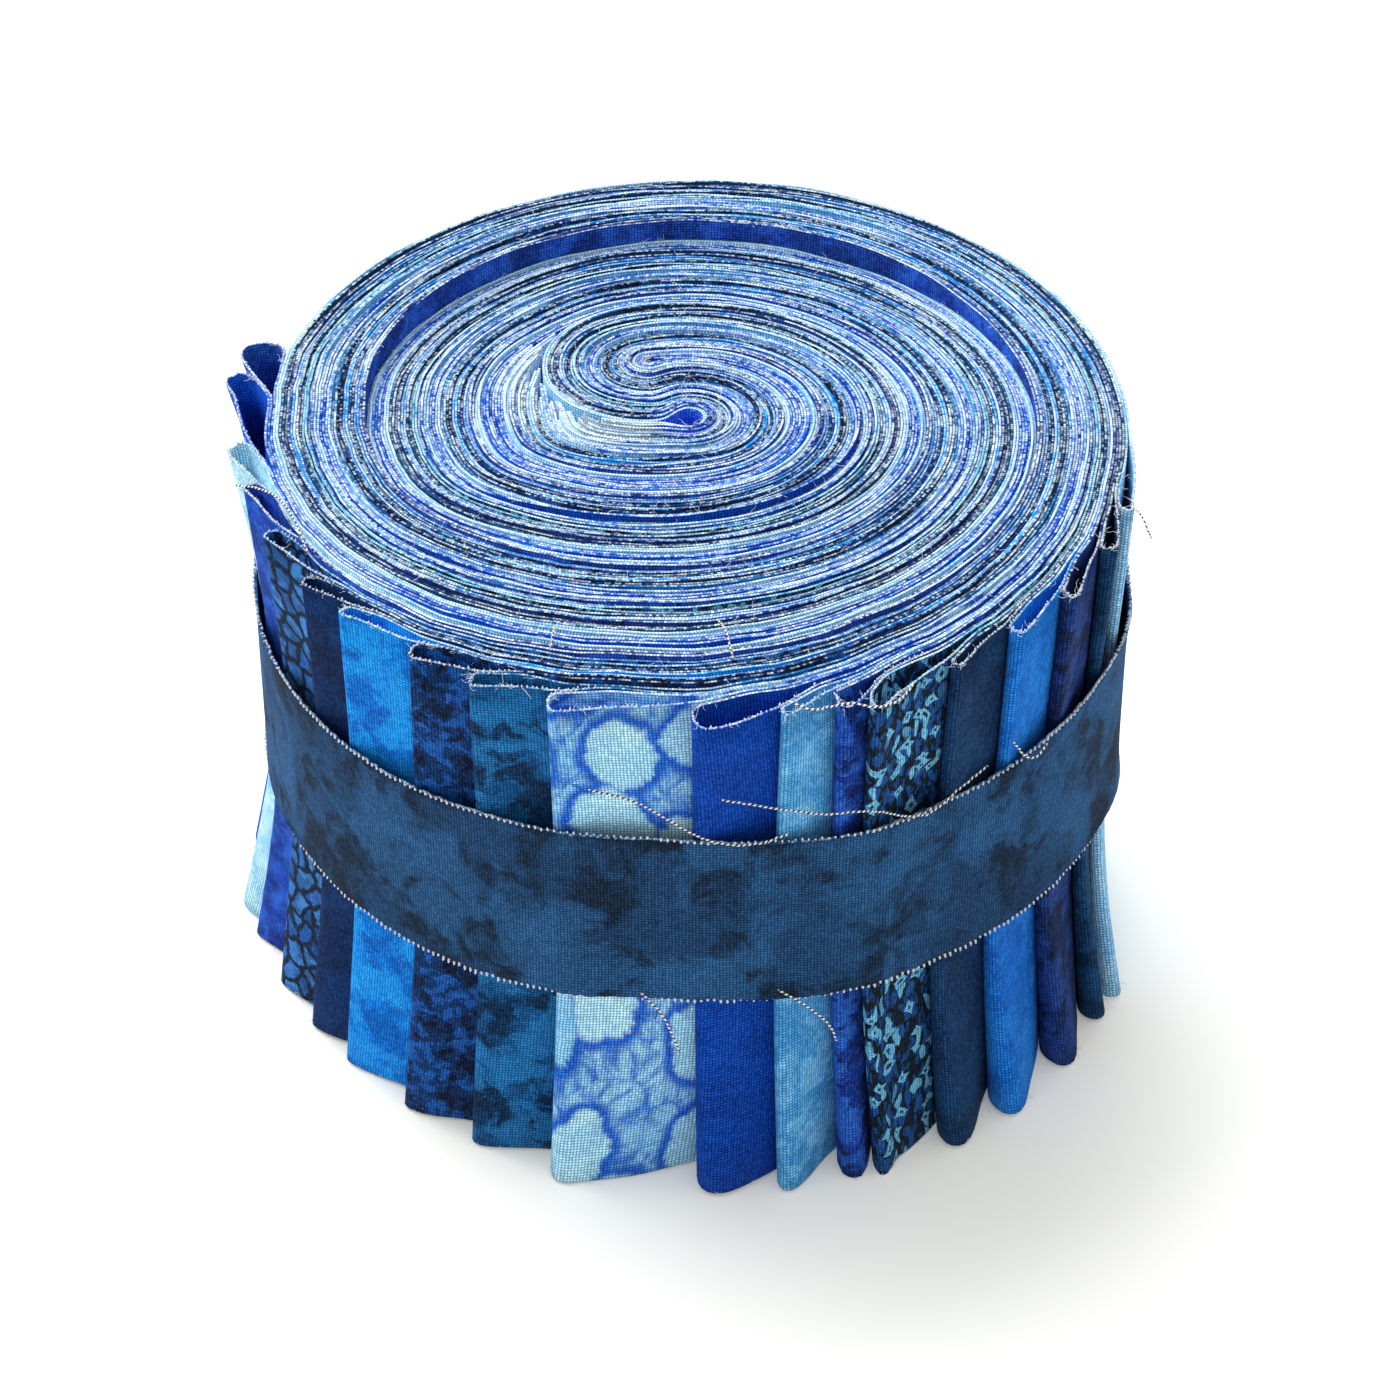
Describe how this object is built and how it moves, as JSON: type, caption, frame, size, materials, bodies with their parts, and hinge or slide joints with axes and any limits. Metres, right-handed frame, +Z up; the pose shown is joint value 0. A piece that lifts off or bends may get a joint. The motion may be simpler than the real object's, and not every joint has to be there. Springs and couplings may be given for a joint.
{
  "type": "jelly roll fabric strips",
  "caption": "Roll of folded quilting-fabric strips in blues, stood on its cut edges and tied round the waist with a raw-edged cloth band.",
  "frame": {"origin": "middle of the object's box, on the surface that the roll stands on", "axes": "+Z up along the roll's axis, -Y towards the front where the fold ends show, +X to the right"},
  "size_m": [0.0974, 0.0968, 0.0635],
  "materials": {
    "cut_edges": "raw cut edges of stacked cotton, light and dark blue lines with dotted yarn ends",
    "indigo": "indigo cotton print, plain weave, matt",
    "royal": "royal blue cotton, plain weave, matt",
    "aqua": "pale aqua cotton, plain weave, matt",
    "violet": "violet-blue cotton with dark mottling, plain weave, matt",
    "pebble": "dark cotton with cornflower pebble shapes, plain weave, matt",
    "navy": "plain navy cotton, plain weave, matt",
    "azure": "bright blue mottled cotton, plain weave, matt",
    "night": "navy cotton with dark blotches, plain weave, matt",
    "teal": "dark teal-navy mottled cotton, plain weave, matt",
    "petal": "pale aqua cotton with cobalt-edged petal shapes, plain weave, matt",
    "ultramarine": "plain ultramarine cotton, plain weave, matt",
    "sky": "sky-blue lightly mottled cotton, plain weave, matt",
    "batik": "violet-blue batik cotton, plain weave, matt",
    "leaf": "dark cotton with light blue leaves and flowers, plain weave, matt",
    "slate": "slate navy cotton, plain weave, matt",
    "bright": "mid blue cotton, plain weave, matt",
    "purple": "navy-purple mottled cotton, plain weave, matt",
    "deep": "dark teal-navy cotton, plain weave, matt",
    "pale": "very pale blue cotton, plain weave, matt",
    "band": "slate-navy mottled cotton, plain weave, matt, raw frayed edges"
  },
  "bodies": {
    "root": {"wound_roll": "cut_edges", "strip_end_01": "indigo", "strip_end_02": "royal", "strip_end_03": "aqua", "strip_end_04": "violet", "strip_end_05": "pebble", "strip_end_06": "navy", "strip_end_07": "azure", "strip_end_08": "night", "strip_end_09": "teal", "strip_end_10": "petal", "strip_end_11": "ultramarine", "strip_end_12": "sky", "strip_end_13": "batik", "strip_end_14": "leaf", "strip_end_15": "slate", "strip_end_16": "bright", "strip_end_17": "purple", "strip_end_18": "deep", "strip_end_19": "pale", "band": "band"}
  },
  "joints": []
}
